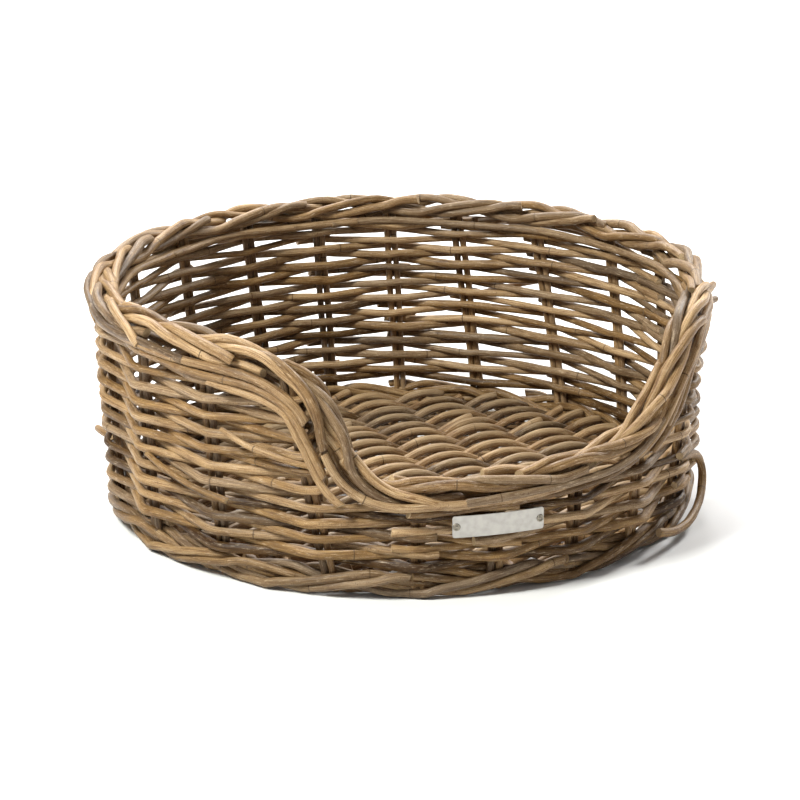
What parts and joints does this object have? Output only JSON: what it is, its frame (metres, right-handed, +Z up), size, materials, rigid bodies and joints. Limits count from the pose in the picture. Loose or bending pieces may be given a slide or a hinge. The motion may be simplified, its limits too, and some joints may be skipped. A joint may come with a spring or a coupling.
{
  "type": "wicker pet bed basket",
  "caption": "Round low rattan pet bed with a woven floor, a high woven wall and a cut-down entry, edged by a rolled rim.",
  "frame": {"origin": "on the ground at the centre of the foot", "axes": "+Z up, the entry faces -Y, +X to the right of someone facing the entry"},
  "size_m": [0.6204, 0.6172, 0.2449],
  "materials": {
    "wall_weaver": "weathered grey-brown rattan, unvarnished",
    "stake": "brown rattan, unvarnished",
    "rim_rod": "weathered rattan, polished a little by handling",
    "foot_rod": "weathered rattan, unvarnished",
    "floor_rod": "weathered rattan, slightly shiny",
    "plate_metal": "brushed",
    "nail_metal": "dull, a little tarnished"
  },
  "bodies": {
    "root": {"base_sticks": "floor_rod", "floor_rods": "floor_rod", "foot_rod_inner_1": "foot_rod", "foot_rod_inner_2": "foot_rod", "foot_rod_inner_3": "foot_rod", "foot_rod_outer_1": "foot_rod", "foot_rod_outer_2": "foot_rod", "foot_rod_outer_3": "foot_rod", "name_plate": "plate_metal", "plate_nails": "nail_metal", "rim_rod_crown": "rim_rod", "rim_rod_inner_lower": "rim_rod", "rim_rod_inner_upper": "rim_rod", "rim_rod_outer_lower": "rim_rod", "rim_rod_outer_upper": "rim_rod", "stake_pair_01": "stake", "stake_pair_02": "stake", "stake_pair_03": "stake", "stake_pair_04": "stake", "stake_pair_05": "stake", "stake_pair_06": "stake", "stake_pair_07": "stake", "stake_pair_08": "stake", "stake_pair_09": "stake", "stake_pair_10": "stake", "stake_pair_11": "stake", "stake_pair_12": "stake", "stake_pair_13": "stake", "stake_pair_14": "stake", "stake_pair_15": "stake", "stake_pair_16": "stake", "stake_pair_17": "stake", "stake_pair_18": "stake", "stake_pair_19": "stake", "stake_pair_20": "stake", "weaver_row_01": "wall_weaver", "weaver_row_02": "wall_weaver", "weaver_row_03": "wall_weaver", "weaver_row_04": "wall_weaver", "weaver_row_05": "wall_weaver", "weaver_row_06": "wall_weaver", "weaver_row_07": "wall_weaver", "weaver_row_08": "wall_weaver", "weaver_row_09": "wall_weaver", "weaver_row_10": "wall_weaver", "weaver_row_11": "wall_weaver", "weaver_row_12": "wall_weaver", "weaver_row_13": "wall_weaver", "weaver_row_14": "wall_weaver", "weaver_row_15": "wall_weaver", "weaver_row_16": "wall_weaver", "weaver_row_17": "wall_weaver", "weaver_row_18": "wall_weaver", "weaver_row_19": "wall_weaver", "weaver_row_20": "wall_weaver", "weaver_row_21": "wall_weaver", "weaver_row_22": "wall_weaver"}
  },
  "joints": []
}
